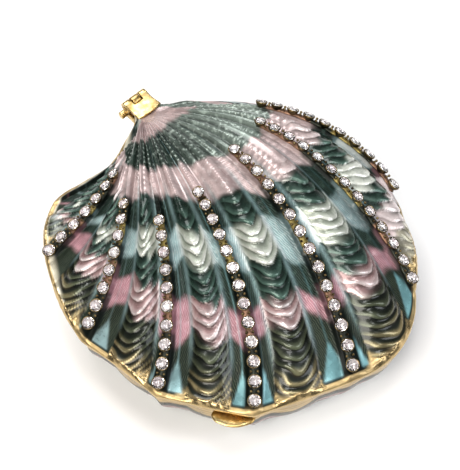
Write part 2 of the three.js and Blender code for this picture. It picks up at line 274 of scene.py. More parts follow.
def carveLid(s, t):   # height of the carving, and the maps that the enamel is painted by
    row, share, left, right = rowParts(s)
    carved = (row >= -1) & (row <= 6)
    run = lineLength(s) * t
    width = np.linalg.norm(domePoint(np.floor(s) + 1, t) - domePoint(np.floor(s), t), axis=-1)
    grow = smooth(0.04, 0.45, t) * (1 - 0.65 * smooth(0.88, 1, t))
    nearStone = np.minimum(share, 1 - share)
    ribShare = np.clip(nearStone / carving["stoneRibHalf"], 0, 1)
    stoneRib = carving["stoneRib"] * (1 - smooth(0.35, 1.0, ribShare))
    v = np.clip((share - left) / (right - left), 0, 1)
    festoon = carving["festoon"] * np.sin(math.pi * v) ** 0.8
    inFestoon = (share > left) & (share < right)
    w = np.where(share <= left, share / left, (1 - share) / (1 - right))
    w = np.clip(w, 0, 1)   # 0 at the stones, 1 at the crest line
    strip = carving["sideRib"] * np.sin(math.pi * w)
    toCrest = np.minimum(np.abs(share - left), np.abs(share - right)) * width
    crest = carving["crestLine"] * np.exp(-(toCrest / carving["crestHalf"]) ** 2)
    crest = crest * smooth(0.25, 0.4, t) * (1 - smooth(0.86, 0.95, t))
    # lamellae: nested curves that hang towards the rim
    middle = np.vectorize(lambda r: hangMiddle.get(r, 0.5))(row)
    deepLeft = np.where(middle >= 0.5, carving["lamellaDepth"], carving["lamellaRise"])
    deepRight = np.where(middle >= 0.5, carving["lamellaRise"], carving["lamellaDepth"])
    deepLeft = np.where(np.abs(middle - 0.5) < 0.08, carving["lamellaEven"], deepLeft)
    deepRight = np.where(np.abs(middle - 0.5) < 0.08, carving["lamellaEven"], deepRight)
    fromLow = np.where(v < middle, (middle - v) / middle, (v - middle) / (1 - middle))
    hang = -np.where(v < middle, deepLeft, deepRight) * fromLow ** 1.75
    hang = (hang + carving["lamellaDepth"]) * smooth(0.3, 0.6, t)
    wander = 0.3 * np.sin(0.34 * run + 2.3 * row) + 0.22 * np.sin(1.45 * run + 1.9 * row)
    wander = wander + 0.12 * np.sin(9 * v + run)
    phase = (run - hang + wander) / carving["lamellaPitch"]
    f = phase - np.floor(phase)
    scatter = np.sin(12.9 * np.floor(phase) + 78.2 * row) * 43.7
    uneven = 0.72 + 0.5 * (scatter - np.floor(scatter))
    saw = uneven * f ** 1.2 * (1 - smooth(0.82, 1.0, f))
    lamella = carving["lamellaHeight"] * saw * smooth(0.42, 0.54, t) * np.sin(math.pi * v) ** 0.6
    lamella = lamella * (1 - 0.85 * smooth(0.5, 0.92, fromLow))
    # feather strokes in the strips
    strokeDrop = carving["strokeSlope"] * (1 - w) * np.where(share <= left, left, 1 - right) * width
    strokePhase = (run - strokeDrop) / carving["strokePitch"]
    # fine ribs near the beak
    ribs = np.cos(2 * math.pi * share * carving["beakRibs"])
    whichRib = np.floor(share * carving["beakRibs"] + 0.5) + carving["beakRibs"] * row
    beadPhase = 2 * math.pi * run / 1.25 + 3 * whichRib
    beaded = (np.sin(2.7 * whichRib) > -0.2) * smooth(0.12, 0.18, t)
    bead = 1 - beaded * (0.32 - 0.32 * np.sin(beadPhase))
    early = smooth(0.03, 0.1, t) * (1 - smooth(0.4, 0.56, t))
    beakRib = carving["beakRibHeight"] * (0.5 + 0.5 * ribs) * bead * early
    height = grow * (stoneRib + festoon * inFestoon + strip * ~inFestoon)
    height = height + crest + lamella * inFestoon + beakRib
    plain = 0.5 * grow * np.abs(np.sin(math.pi * share)) + beakRib * 0.6
    height = np.where(carved, height, plain)
    maps = {"row": row, "v": v, "w": w, "inFestoon": inFestoon & carved, "phase": phase, "run": run,
            "toCrest": toCrest, "ribShare": ribShare, "strokePhase": strokePhase, "carved": carved,
            "strokeDrop": strokeDrop, "middle": row + (left + right) / 2, "uneven": uneven}
    return height, maps


enamels = {
    "paleRose": "#c0aba9", "bottleGreen": "#1b2c25", "beakGreen": "#2b3a32", "deepGreen": "#131e18",
    "seaGreen": "#6a8a7d", "mistGreen": "#a9b6ac", "cream": "#a3aa9c", "pearl": "#f3f3ec",
    "iceBlue": "#93afb1", "frost": "#cfdada", "turquoise": "#6f9da2",
    "rose": "#9b7b7a", "deepRose": "#a1727b", "roseWhite": "#f1e8e6",
    "gold": "#bfa677", "nightGreen": "#12170f", "mossGlint": "#7b8367", "copper": "#86654f",
    "mutedGold": "#8c7c45", "darkOlive": "#23261c", "paleEar": "#b5bab0", "creamEdge": "#d6cfba",
}
tones = {key: shade(code) for key, code in enamels.items()}


# Pieces made from a grid of points
def link(name, mesh, body="lid"):
    piece = bpy.data.objects.new(name, mesh)
    bpy.context.scene.collection.objects.link(piece)
    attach(piece, body)
    return piece


def gridMesh(name, points, colours, maps):   # rows by columns of points, the first column also the last
    rows, columns = points.shape[:2]
    bm = bmesh.new()
    bmesh.ops.create_grid(bm, x_segments=columns - 1, y_segments=rows - 1, size=0.5)
    mesh = meshFrom(bm, name)
    flat = np.zeros(len(mesh.vertices) * 3)
    mesh.vertices.foreach_get("co", flat)
    flat = flat.reshape(-1, 3)
    column = np.rint((flat[:, 0] + 0.5) * (columns - 1)).astype(int)
    row = np.rint((flat[:, 1] + 0.5) * (rows - 1)).astype(int)
    place = (points[row, column] + np.array(hingePlace)) * mm
    mesh.vertices.foreach_set("co", place.ravel())
    for key, values in colours.items():
        layer = mesh.attributes.new(key, "FLOAT_COLOR", "POINT")
        rgba = np.ones((len(row), 4))
        rgba[:, :3] = values[row, column]
        layer.data.foreach_set("color", rgba.ravel())
    for key, values in maps.items():
        layer = mesh.attributes.new(key, "FLOAT", "POINT")
        layer.data.foreach_set("value", values[row, column].astype(np.float32))
    bm = bmesh.new()
    bm.from_mesh(mesh)
    bmesh.ops.remove_doubles(bm, verts=bm.verts, dist=2e-6)
    bmesh.ops.dissolve_degenerate(bm, edges=bm.edges, dist=1e-7)
    bmesh.ops.recalc_face_normals(bm, faces=bm.faces)
    smoothFaces(bm)
    bm.to_mesh(mesh)
    bm.free()
    return mesh


def columnPlaces(fine, coarse):   # more columns where the stones and festoons are
    places = []
    for row in range(-4, 11):
        steps = fine if -1 <= row <= 6 else coarse
        places += [row + k / steps for k in range(steps)]
    return np.array(places + [11.0])


lidDetail = {"fine": 48, "coarse": 8, "rowsNear": 32, "rowsFar": 168, "rowsInside": 10}


def makeLid():
    s = columnPlaces(lidDetail["fine"], lidDetail["coarse"])
    near = np.linspace(0, 0.3, lidDetail["rowsNear"], endpoint=False)
    far = np.linspace(0.3, 1, lidDetail["rowsFar"])
    t = np.concatenate([near, far])
    gridS, gridT = np.meshgrid(s, t)
    height, maps = carveLid(gridS, gridT)
    outside = domePoint(gridS, gridT) + domeNormal(gridS, gridT) * height[..., None]
    outside[0] = domePoint(0.0, 0.0)
    rim = outside[-1].copy()
    rim[:, 2] = shell["rimEdge"]
    outside[-1] = rim
    rimXY = rimPoint(s)
    edgeRings = []
    for z, bulge in ((0.85, 0.16), (0.55, 0.22), (0.3, 0.16), (0.16, 0.0)):
        ring = np.empty_like(rim)
        ring[:, :2] = rim[:, :2] + (rimPoint(s, bulge) - rimXY)
        ring[:, 2] = z
        edgeRings.append(ring)
    hollow = {"centre": shell["innerBeak"], "inset": shell["lidWall"], "drop": shell["lidWall"],
              "edge": shell["seamGap"] / 2}
    innerT = np.linspace(1, 0, lidDetail["rowsInside"])
    inside = [domePoint(s, k, **hollow) for k in innerT]
    points = np.concatenate([outside, np.array(edgeRings), np.array(inside)])
    colours, edges, extra = paintLid(gridS, gridT, maps)
    total = len(points)
    colourLayers = {}
    for key, values in (("enamel", colours), ("edgeTone", edges)):
        full = np.tile(tones["gold"], (total, len(s), 1))
        full[:len(t)] = values
        colourLayers[key] = full
    layers = {}
    for key, values in extra.items():
        full = np.ones((total, len(s))) if key == "gilt" else np.zeros((total, len(s)))
        full[:len(t)] = values
        layers[key] = full
    mesh = gridMesh("lidShell", points, colourLayers, layers)
    lid = link("lidShell", mesh, "lid")
    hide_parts("lid_shell")
    return lid


# Where one enamel gives way to the next, as shares of the line from beak to rim, at stations -1 to 7. They
# were worked out from points on the bands in the photo, then rounded and changed.
bandEdges = np.array([
    (0.33, 0.20, 0.19, 0.165, 0.125, 0.11, 0.14, 0.19, 0.20),    # pale rose to green
    (0.33, 0.36, 0.33, 0.30, 0.29, 0.34, 0.37, 0.44, 0.44),      # green to pale rose
    (0.335, 0.53, 0.46, 0.40, 0.42, 0.47, 0.51, 0.60, 0.60),     # pale rose to green
    (0.76, 0.68, 0.57, 0.50, 0.52, 0.56, 0.63, 0.68, 0.68),      # green to cream
    (0.76, 0.71, 0.64, 0.61, 0.625, 0.67, 0.73, 0.80, 0.80),     # cream to green
    (0.89, 0.76, 0.71, 0.715, 0.73, 0.76, 0.80, 0.84, 0.84),    # green to rose
    (0.895, 0.83, 0.81, 0.82, 0.815, 0.81, 0.86, 0.95, 0.95),     # rose to green
    (0.986, 0.986, 0.988, 0.988, 0.988, 0.988, 0.988, 0.98, 0.98),   # green to gold
])
bandTones = ["paleRose", "beakGreen", "paleRose", "bottleGreen", "cream", "bottleGreen", "rose", "nightGreen"]
bandEdgeTones = ["roseWhite", "mistGreen", "roseWhite", "seaGreen", "pearl", "seaGreen", "roseWhite",
                 "mossGlint"]
stripTones = ["paleRose", "beakGreen", "paleRose", "deepGreen", "iceBlue", "deepGreen", "deepRose",
              "deepGreen"]
railTones = ["paleRose", "darkOlive", "copper", "darkOlive", "mutedGold", "darkOlive", "copper", "darkOlive"]
# How strongly the lamella edges of each band pale, partly pearl colour and partly painted highlight
edgeLift = np.array([0.8, 0.5, 0.8, 0.55, 0.95, 0.6, 0.9, 0.6, 0.5])


def bandEdge(k, s):
    place = np.clip(s + 1, 0, bandEdges.shape[1] - 1)
    return np.interp(place, np.arange(bandEdges.shape[1]), bandEdges[k])


def palette(names):
    return np.array([tones[name] for name in names] + [tones["gold"]])


def bandMix(te, s, colours, soft):   # one enamel running softly into the next
    colour = np.broadcast_to(colours[0], (*te.shape, 3)).copy()
    for k in range(len(bandEdges)):
        place = bandEdge(k, s)
        share = smooth(place - soft, place + soft, te)[..., None]
        colour = colour * (1 - share) + colours[k + 1] * share
    return colour


def laid(under, over, share):   # one enamel laid over another
    return under * (1 - share[..., None]) + over * share[..., None]


def paintLid(s, t, maps):
    run = np.maximum(maps["run"], 1e-6)
    length = run / np.maximum(t, 1e-6)
    inFestoon = maps["inFestoon"]
    # in a festoon the paint follows the lamellae, so the whole of each one takes one enamel
    stepped = (np.floor(maps["phase"]) + 0.6) * carving["lamellaPitch"] / np.maximum(length, 1)
    stepped = stepped + 0.035 * smooth(0.4, 0.6, t)
    flowing = t + 0.006 * np.sin(9 * s) + 0.004 * np.sin(23 * s)
    whole = inFestoon & (t > 0.44)
    held = 0.7 * smooth(0.44, 0.5, t)
    festoonPlace = np.where(whole, flowing * (1 - held) + stepped * held, flowing)
    judged = np.where(whole, maps["middle"] * held + s * (1 - held), s)
    # beside the stones each feather stroke ends a little sooner or later
    ragged = 0.011 * np.sin(12.9 * np.floor(maps["strokePhase"]) + 7.2 * maps["row"])
    late = smooth(0.38, 0.5, t)
    stripPlace = flowing + late * (ragged - 0.22 * maps["strokeDrop"] / np.maximum(length, 1))
    place = np.where(inFestoon, festoonPlace, stripPlace)
    band = sum((place > bandEdge(k, judged)).astype(int) for k in range(len(bandEdges)))
    colour = np.where(inFestoon[..., None], bandMix(festoonPlace, judged, palette(bandTones), 0.009),
                      bandMix(stripPlace, s, palette(stripTones), 0.014))
    edge = bandMix(place, judged, palette(bandEdgeTones), 0.009)
    icy = (band == 4) & ~inFestoon & (t > 0.45)
    icyLight = (0.32 + 0.72 * maps["w"]) * (1 - 0.25 * smooth(3.4, 4.2, s))
    colour = colour * np.where(icy, icyLight, 1.0)[..., None]
    # near the beak: paler towards the right, and painted shade in the grooves between the ribs
    colour = laid(colour, tones["mistGreen"], 0.5 * smooth(2.6, 5.0, s) * (band == 1))
    groove = np.clip(-np.cos(8 * math.pi * s), 0, 1) * smooth(0.06, 0.14, t) * (1 - smooth(0.42, 0.52, t))
    colour = colour * (1 - groove * np.where(band == 1, 0.6, 0.22))[..., None]
    # pale crest lines along the festoons: a painted highlight along each crest ridge
    crest = np.exp(-(maps["toCrest"] / 0.36) ** 2) * maps["carved"] * smooth(0.32, 0.44, t)
    crest = crest * (1 - smooth(0.82, 0.93, t)) * np.where(band == 4, 0.95, 0.8)
    crestHighlightTone = np.where((band == 4)[..., None], tones["frost"], colour * 0.35 + 0.65 * tones["iceBlue"])
    colour = laid(colour, crestHighlightTone, crest)
    # fans at the rim, between each festoon and its row of stones
    reach = np.clip((t - 0.89) / 0.1, 0, 1) * np.interp(s, [1, 2.5, 4], [0.36, 0.42, 0.47])   # half its width
    fan = smooth(-0.05, 0.07, reach - np.abs(maps["w"] - 0.52))
    fan = fan * (1 - smooth(0.979, 0.985, t)) * ~inFestoon * maps["carved"] * (s > 0.5)
    fan = fan * smooth(0.8, 1.0, maps["ribShare"])
    fanTone = laid(tones["iceBlue"] * 0.75, tones["turquoise"], smooth(1.4, 3.2, s))
    colour = laid(colour, fanTone, fan)
    # gold lines among the last lamellae, and the gold rim
    growth = (0.5 + 0.5 * np.cos(2 * math.pi * (maps["phase"] - 0.8))) ** 3
    gildLines = np.where(inFestoon, 0.75 * smooth(0.9, 0.975, t) * growth, 0) * (band >= 6) * (s > 0)
    colour = laid(colour, tones["gold"], gildLines)
    # painted shade along each row of stones: the enamel under and beside the stones is darkened, less in the
    # rose bands
    onRib = (1 - smooth(0.7, 1.0, maps["ribShare"])) * maps["carved"] * smooth(0.36, 0.44, t)
    rosy = np.where((band == 2) | (band == 6), 0.55, 0.26)[..., None]
    stoneRowShade = bandMix(flowing, s, palette(stripTones), 0.01) * rosy
    colour = laid(colour, stoneRowShade, 0.9 * onRib)
    # round the ear, a pale edge and then gold, which reach further up where the side is steep
    goldFrom = np.interp(s, [-4, -3, -1.5, -1.1, -0.4, 0.15, 0.6], [0.76, 0.76, 0.78, 0.955, 0.982, 0.988, 1])
    paleWidth = np.interp(s, [-1.5, -1, -0.2, 0.15, 0.5], [0.8, 0.08, 0.05, 0.16, 0.1])
    onEar = (s < 0.6) * (s >= -4)
    paleEdge = onEar * smooth(-0.3, 0.0, (t - goldFrom) / paleWidth)
    colour = laid(colour, tones["creamEdge"], paleEdge)
    earGold = onEar * smooth(-0.004, 0.004, t - goldFrom)
    colour = laid(colour, tones["gold"], earGold)
    # the last lamellae beside the far edge are pale gold
    colour = laid(colour, tones["creamEdge"], 0.75 * smooth(4.9, 5.5, s) * (band == 7) * inFestoon)
    colour = laid(colour, edge, smooth(4.9, 5.4, s) * (0.3 * (band == 4) + 0.6 * (band == 6)))
    earPatch = 0.8 * np.exp(-((s + 0.45) / 0.14) ** 2 - ((t - 0.915) / 0.03) ** 2)
    colour = laid(colour, tones["frost"], earPatch)
    gilt = np.where(band == 8, 1.0, 0.75 * gildLines) * (1 - fan)
    gilt = np.maximum(gilt * (s >= 0.15) + earGold, 0) * (1 - paleEdge * (earGold < 0.5))
    gilt = np.maximum(gilt, smooth(0.985, 0.993, t))
    colour = np.where((t > 0.99)[..., None], tones["gold"], colour)
    colour = laid(colour, tones["paleEar"], 0.65 * smooth(-0.2, -0.9, s) * (1 - smooth(0.3, 0.42, t)))
    layered = smooth(0.42, 0.5, t) * (t < 0.985)
    fade = np.clip(np.sin(math.pi * maps["v"]), 0, 1) ** 0.5
    patchy = (0.35 + 0.65 * maps["uneven"]) * (0.85 + 0.15 * np.sin(4.3 * maps["v"] + 2 * maps["row"]))
    # pale flecks near the beak, part enamel wear and part painted reflection
    fleck = np.where(band == 1, 1.0, 0.45) * smooth(0.05, 0.15, t) * (1 - 0.6 * smooth(0.4, 0.5, t))
    fleck = fleck * (1 - smooth(0.8, 0.9, t)) * (0.45 + 0.55 * smooth(1.5, 4, s))
    beaded = np.sin(2.7 * np.floor(4 * s + 0.5)) > -0.2   # some of the ribs near the beak
    besideStones = ~inFestoon * (1 - fan) * smooth(0.3, 0.45, t)
    extra = {
        "across": s, "along": maps["run"],
        "gilt": gilt,
        "phase": maps["phase"],
        # ridge: how strongly the lamellae get pale edges (part painted highlight) and painted shade under
        # them
        "ridge": inFestoon * layered * fade,
        "pale": edgeLift[band] * patchy,
        "strokes": maps["strokePhase"],
        "strokeDepth": besideStones * (1 - onRib) * (t < 0.98) * maps["carved"],
        "growth": np.where(band == 8, (1 - t) * length / 0.7, 0),
        "fleck": fleck,
        "beads": (band == 1) * beaded * smooth(0.12, 0.18, t) * maps["carved"],
        "dull": np.maximum(onRib, 0.8 * besideStones),
    }
    return colour, edge, extra


# Materials
def newMaterial(name):
    material = bpy.data.materials.new(name)
    material.use_nodes = True
    return material, material.node_tree.nodes, material.node_tree.links


def attribute(nodes, name):
    node = nodes.new("ShaderNodeAttribute")
    node.attribute_name = name
    return node


def mathNode(nodes, links, kind, first, second=None):   # inputs are sockets or numbers
    node = nodes.new("ShaderNodeMath")
    node.operation = kind
    for slot, value in zip(node.inputs, (first, second)):
        if value is None:
            continue
        if isinstance(value, (int, float)):
            slot.default_value = value
        else:
            links.new(value, slot)
    return node.outputs["Value"]


def rampNode(nodes, links, source, stops, smoothly=False):
    node = nodes.new("ShaderNodeValToRGB")
    ramp = node.color_ramp
    if smoothly:
        ramp.interpolation = "EASE"
    while len(ramp.elements) < len(stops):
        ramp.elements.new(0.5)
    for element, (place, tone) in zip(ramp.elements, stops):
        element.position = place
        element.color = (tone, tone, tone, 1) if isinstance(tone, (int, float)) else (*tone, 1)
    links.new(source, node.inputs["Fac"])
    return node.outputs["Color"]


def mixNode(nodes, links, factor, first, second, kind="MIX"):
    node = nodes.new("ShaderNodeMix")
    node.data_type = "RGBA"
    node.blend_type = kind
    for key, value in (("Factor", factor), ("A", first), ("B", second)):
        if isinstance(value, (int, float, tuple)):
            node.inputs[key].default_value = value
        else:
            links.new(value, node.inputs[key])
    return node.outputs["Result"]


def newGroup(name, inputs, outputs):   # inputs: name, kind and value; outputs: name and kind
    group = bpy.data.node_groups.new(name, "ShaderNodeTree")
    for key, kind, value in inputs:
        socket = group.interface.new_socket(name=key, in_out="INPUT", socket_type="NodeSocket" + kind)
        socket.default_value = value
    for key, kind in outputs:
        group.interface.new_socket(name=key, in_out="OUTPUT", socket_type="NodeSocket" + kind)
    return group, group.nodes.new("NodeGroupInput").outputs, group.nodes.new("NodeGroupOutput").inputs


def useGroup(nodes, group, **values):
    node = nodes.new("ShaderNodeGroup")
    node.node_tree = group
    for key, value in values.items():
        node.inputs[key].default_value = value
    return node


def rangeNode(nodes, links, source, fromMin, fromMax, toMin, toMax):
    node = nodes.new("ShaderNodeMapRange")
    node.inputs["From Min"].default_value = fromMin
    node.inputs["From Max"].default_value = fromMax
    for slot, value in ((node.inputs["To Min"], toMin), (node.inputs["To Max"], toMax)):
        if isinstance(value, (int, float)):
            slot.default_value = value
        else:
            links.new(value, slot)
    links.new(source, node.inputs["Value"])
    return node.outputs["Result"]


def makeGrainGroup():   # slow cloudiness, as a mask and as an uneven surface
    group, given, result = newGroup("castGrain", [("Scale", "Float", 500.0), ("Depth", "Float", 0.2)],
                                    [("Mask", "Float"), ("Normal", "Vector")])
    nodes, links = group.nodes, group.links
    noise = nodes.new("ShaderNodeTexNoise")
    noise.inputs["Detail"].default_value = 5
    links.new(nodes.new("ShaderNodeTexCoord").outputs["Object"], noise.inputs["Vector"])
    links.new(given["Scale"], noise.inputs["Scale"])
    bump = nodes.new("ShaderNodeBump")
    bump.inputs["Distance"].default_value = 0.0001
    links.new(given["Depth"], bump.inputs["Strength"])
    links.new(noise.outputs["Fac"], bump.inputs["Height"])
    links.new(noise.outputs["Fac"], result["Mask"])
    links.new(bump.outputs["Normal"], result["Normal"])
    return group


def makeMetalGroup():   # cast and plated metal with duller hollows
    group, given, result = newGroup("castMetal", [
        ("Light", "Color", (0.7, 0.5, 0.2, 1)), ("Dark", "Color", (0.4, 0.3, 0.1, 1)),
        ("Sheen", "Float", 0.2), ("Scale", "Float", 500.0), ("Depth", "Float", 0.2)],
        [("Colour", "Color"), ("Roughness", "Float"), ("Normal", "Vector")])
    nodes, links = group.nodes, group.links
    grain = useGroup(nodes, grainGroup)
    links.new(given["Scale"], grain.inputs["Scale"])
    links.new(given["Depth"], grain.inputs["Depth"])
    share = rangeNode(nodes, links, grain.outputs["Mask"], 0.36, 0.62, 0.0, 1.0)
    links.new(mixNode(nodes, links, share, given["Dark"], given["Light"]), result["Colour"])
    dull = mathNode(nodes, links, "MULTIPLY", given["Sheen"], 1.6)
    rough = rangeNode(nodes, links, grain.outputs["Mask"], 0.3, 0.7, dull, given["Sheen"])
    links.new(rough, result["Roughness"])
    links.new(grain.outputs["Normal"], result["Normal"])
    return group


def makePearlGroup():   # pearly enamel painted by the maps that the mesh carries
    group, given, result = newGroup("pearlPaint", [
        ("Cloud Scale", "Float", 420.0), ("Lamella Rise", "Float", 0.35), ("Stroke Rise", "Float", 0.3),
        ("Growth Rise", "Float", 0.22), ("Bead Rise", "Float", 1.2)],
        [("Colour", "Color"), ("Gilt", "Float"), ("Specular", "Float"), ("Coat", "Float"),
         ("Roughness", "Float"), ("Normal", "Vector")])
    nodes, links = group.nodes, group.links

    def read(name):
        return attribute(nodes, name).outputs["Fac"]

    def times(first, second):
        return mathNode(nodes, links, "MULTIPLY", first, second)

    def plus(first, second):
        return mathNode(nodes, links, "ADD", first, second)

    def positive(value):
        return mathNode(nodes, links, "MAXIMUM", value, 0.0)

    def mix(factor, first, second, kind="MIX"):
        return mixNode(nodes, links, factor, first, second, kind)

    grain = useGroup(nodes, grainGroup, Depth=0.1)
    links.new(given["Cloud Scale"], grain.inputs["Scale"])
    colour = attribute(nodes, "enamel").outputs["Color"]
    edge = attribute(nodes, "edgeTone").outputs["Color"]
    ridge, gilt, depth = read("ridge"), read("gilt"), read("strokeDepth")
    # lamellae: pale towards their lower edge, partly pearl colour and partly painted highlight, with painted
    # shade under that edge
    part = mathNode(nodes, links, "FRACT", read("phase"))
    lift = rampNode(nodes, links, part, [(0.0, 0.0), (0.4, 0.04), (0.7, 0.5), (0.86, 0.95), (1.0, 0.35)])
    lifted = times(lift, ridge)
    colour = mix(times(lifted, read("pale")), colour, edge)
    # painted shade under each lamella's lower edge
    lamellaShadeStops = [(0.0, 0.8), (0.1, 0.7), (0.32, 0.2), (0.5, 0.0), (0.96, 0.0), (1.0, 0.8)]
    lamellaShade = rampNode(nodes, links, part, lamellaShadeStops)
    darker = mix(1.0, colour, (0.24, 0.25, 0.23, 1), "MULTIPLY")
    colour = mix(times(lamellaShade, ridge), colour, darker)
    # feather strokes
    spread = nodes.new("ShaderNodeCombineXYZ")   # a grain drawn out along the ribs
    links.new(times(read("across"), 12.0), spread.inputs["X"])
    links.new(times(read("along"), 0.8), spread.inputs["Y"])
    spots = nodes.new("ShaderNodeTexNoise")
    spots.inputs["Scale"].default_value = 1.0
    spots.inputs["Detail"].default_value = 3
    links.new(spread.outputs["Vector"], spots.inputs["Vector"])
    bent = plus(read("strokes"), times(spots.outputs["Fac"], 2.2))
    wave = mathNode(nodes, links, "SINE", times(bent, 2 * math.pi))
    streak = times(times(positive(wave), 0.2), depth)
    colour = mix(streak, colour, edge)
    # pale flecks, part enamel wear and part painted reflection, and the cloudiness of pearl enamel
    flecked = times(rangeNode(nodes, links, spots.outputs["Fac"], 0.54, 0.68, 0.0, 0.8), read("fleck"))
    colour = mix(flecked, colour, edge)
    # rows of little beads along some of the ribs near the beak
    rib = mathNode(nodes, links, "COSINE", times(read("across"), 8 * math.pi))
    rib = mathNode(nodes, links, "POWER", positive(rib), 2.5)
    shift = mathNode(nodes, links, "FLOOR", plus(times(read("across"), 4.0), 0.5))
    turn = plus(times(read("along"), 2 * math.pi / 1.25), times(shift, 3.0))
    dot = mathNode(nodes, links, "POWER", positive(mathNode(nodes, links, "SINE", turn)), 1.5)
    dotted = times(times(dot, rib), read("beads"))
    colour = mix(times(dotted, 0.8), colour, edge)
    cloud = rampNode(nodes, links, grain.outputs["Mask"], [(0.35, 0.75), (0.7, 1.18)])
    colour = mix(1.0, colour, cloud, "MULTIPLY")
    # growth lines in the gold rim, with painted shade in their grooves
    ring = times(mathNode(nodes, links, "SINE", times(read("growth"), 2 * math.pi)), gilt)
    groove = times(positive(ring), 0.3)
    colour = mix(groove, colour, mix(1.0, colour, (0.4, 0.33, 0.22, 1), "MULTIPLY"))
    links.new(colour, result["Colour"])
    links.new(gilt, result["Gilt"])
    links.new(rangeNode(nodes, links, read("dull"), 0.0, 1.0, 0.36, 0.1), result["Specular"])
    links.new(rangeNode(nodes, links, read("dull"), 0.0, 1.0, 0.22, 0.02), result["Coat"])
    rough = rangeNode(nodes, links, grain.outputs["Mask"], 0.3, 0.7, 0.2, 0.34)
    links.new(plus(rough, times(read("dull"), 0.18)), result["Roughness"])
    rise = plus(times(lifted, given["Lamella Rise"]), times(times(wave, depth), given["Stroke Rise"]))
    rise = mathNode(nodes, links, "SUBTRACT", rise, times(ring, given["Growth Rise"]))
    rise = plus(rise, times(flecked, 0.4))
    rise = plus(rise, times(dotted, given["Bead Rise"]))
    bump = nodes.new("ShaderNodeBump")
    bump.inputs["Strength"].default_value = 0.5
    bump.inputs["Distance"].default_value = 0.00015
    links.new(rise, bump.inputs["Height"])
    links.new(grain.outputs["Normal"], bump.inputs["Normal"])
    links.new(bump.outputs["Normal"], result["Normal"])
    return group


grainGroup = makeGrainGroup()
metalGroup = makeMetalGroup()
pearlGroup = makePearlGroup()
pearlFinish = {"metallic": 0.3, "coatRoughness": 0.08}


def enamelMaterial(name):
    material, nodes, links = newMaterial(name)
    surface = nodes["Principled BSDF"]
    paint = useGroup(nodes, pearlGroup)
    links.new(paint.outputs["Colour"], surface.inputs["Base Color"])
    links.new(rangeNode(nodes, links, paint.outputs["Gilt"], 0.0, 1.0, pearlFinish["metallic"], 1.0),
              surface.inputs["Metallic"])
    links.new(paint.outputs["Specular"], surface.inputs["Specular IOR Level"])
    links.new(paint.outputs["Roughness"], surface.inputs["Roughness"])
    links.new(paint.outputs["Normal"], surface.inputs["Normal"])
    links.new(paint.outputs["Coat"], surface.inputs["Coat Weight"])
    surface.inputs["Coat Roughness"].default_value = pearlFinish["coatRoughness"]
    return material


def metalMaterial(name, light, dark, sheen, scale, depth, metallic=1.0):
    material, nodes, links = newMaterial(name)
    surface = nodes["Principled BSDF"]
    surface.inputs["Metallic"].default_value = metallic
    plating = useGroup(nodes, metalGroup, Light=(*shade(light), 1), Dark=(*shade(dark), 1), Sheen=sheen,
                       Scale=scale, Depth=depth)
    links.new(plating.outputs["Colour"], surface.inputs["Base Color"])
    links.new(plating.outputs["Roughness"], surface.inputs["Roughness"])
    links.new(plating.outputs["Normal"], surface.inputs["Normal"])
    return material, plating


lidEnamel = enamelMaterial("pearlEnamel")
goldPlate = metalMaterial("goldPlate", "#d3ba84", "#a2854e", 0.22, 700, 0.2)[0]
lid = makeLid()
lid.data.materials.append(lidEnamel)
print("lid is made:", len(lid.data.polygons), "faces")


# Base
baseDetail = {"fine": 22, "coarse": 8, "outside": 56, "inside": 30}


def bowlPoint(rim, turn, depth, foot, top):
    centre = np.array(shell["footCentre"])
    heading = np.arctan2(rim[..., 1] - centre[1], rim[..., 0] - centre[0])
    oval = np.stack([np.cos(heading) * foot[0], np.sin(heading) * foot[1]], -1) + centre
    spread = np.clip(np.cos(turn), 0, 1) ** shell["bowlFullness"]
    plan = oval + (rim - oval) * spread
    return np.concatenate([plan, np.broadcast_to(top - depth * np.sin(turn), plan.shape[:-1])[..., None]], -1)


basePaint = {
    # the share of the way from rim to foot at which each enamel ends, and the pitch of the growth lines in mm
    "goldBand": 0.15, "night": 0.3, "rose": 0.42, "green": 0.56, "cream": 0.66, "growthPitch": 1.5,
}


def paintBase(s, points):   # bands like the lid's, in nested curves, and a gold foot and inside
    rows = len(points)
    outside = baseDetail["outside"]
    down = np.ones(rows)
    down[1:outside + 1] = np.linspace(1, 0, outside)   # 1 at the foot, 0 at the rim
    down[0] = 1
    share, left, right = rowParts(s)[1:]
    v = np.clip((share - left) / (right - left), 0, 1)
    steps = np.linalg.norm(np.diff(points, axis=0), axis=-1)
    run = np.zeros(points.shape[:2])
    run[1:] = np.cumsum(steps, axis=0)
    phase = (run + 3.2 * np.sin(math.pi * v)[None]) / basePaint["growthPitch"]
    wavy = down[:, None] + 0.1 * (0.5 - np.sin(math.pi * v))[None] + 0.01 * np.sin(9 * s)[None]
    wavy = np.where(down[:, None] < 0.14, down[:, None], wavy)
    limits = [basePaint[k] for k in ("goldBand", "night", "rose", "green", "cream")]
    band = sum((wavy > limit).astype(int) for limit in limits)
    base = np.array([tones[n] for n in ("gold", "nightGreen", "rose", "bottleGreen", "cream", "bottleGreen")])
    edge = np.array([tones[n] for n in ("gold", "mossGlint", "roseWhite", "seaGreen", "pearl", "seaGreen")])
    colours, edges = base[band], edge[band]
    gilt = (band == 0).astype(float)
    plain = np.zeros(points.shape[:2], bool)
    plain[outside + 1:] = True
    plain[0] = True
    plain |= down[:, None] > 0.93
    colours[plain] = tones["gold"]
    edges[plain] = tones["gold"]
    gilt[plain] = 1
    # ridge: how strongly the lamellae get pale edges (part painted highlight) and painted shade under them
    ridge = np.where(plain | (band == 0), 0, 0.8) * np.clip(np.sin(math.pi * v), 0, 1)[None] ** 0.5
    nothing = np.zeros(points.shape[:2])
    maps = {
        "across": nothing + s, "along": run,
        "gilt": gilt, "phase": phase, "ridge": ridge, "pale": nothing + 0.6,
        "strokes": nothing, "strokeDepth": nothing, "beads": nothing,
        "growth": (down[:, None] + nothing) * 18 * (band == 0),
        "fleck": nothing + 0.3, "dull": nothing + 0.2,
    }
    return colours, edges, maps


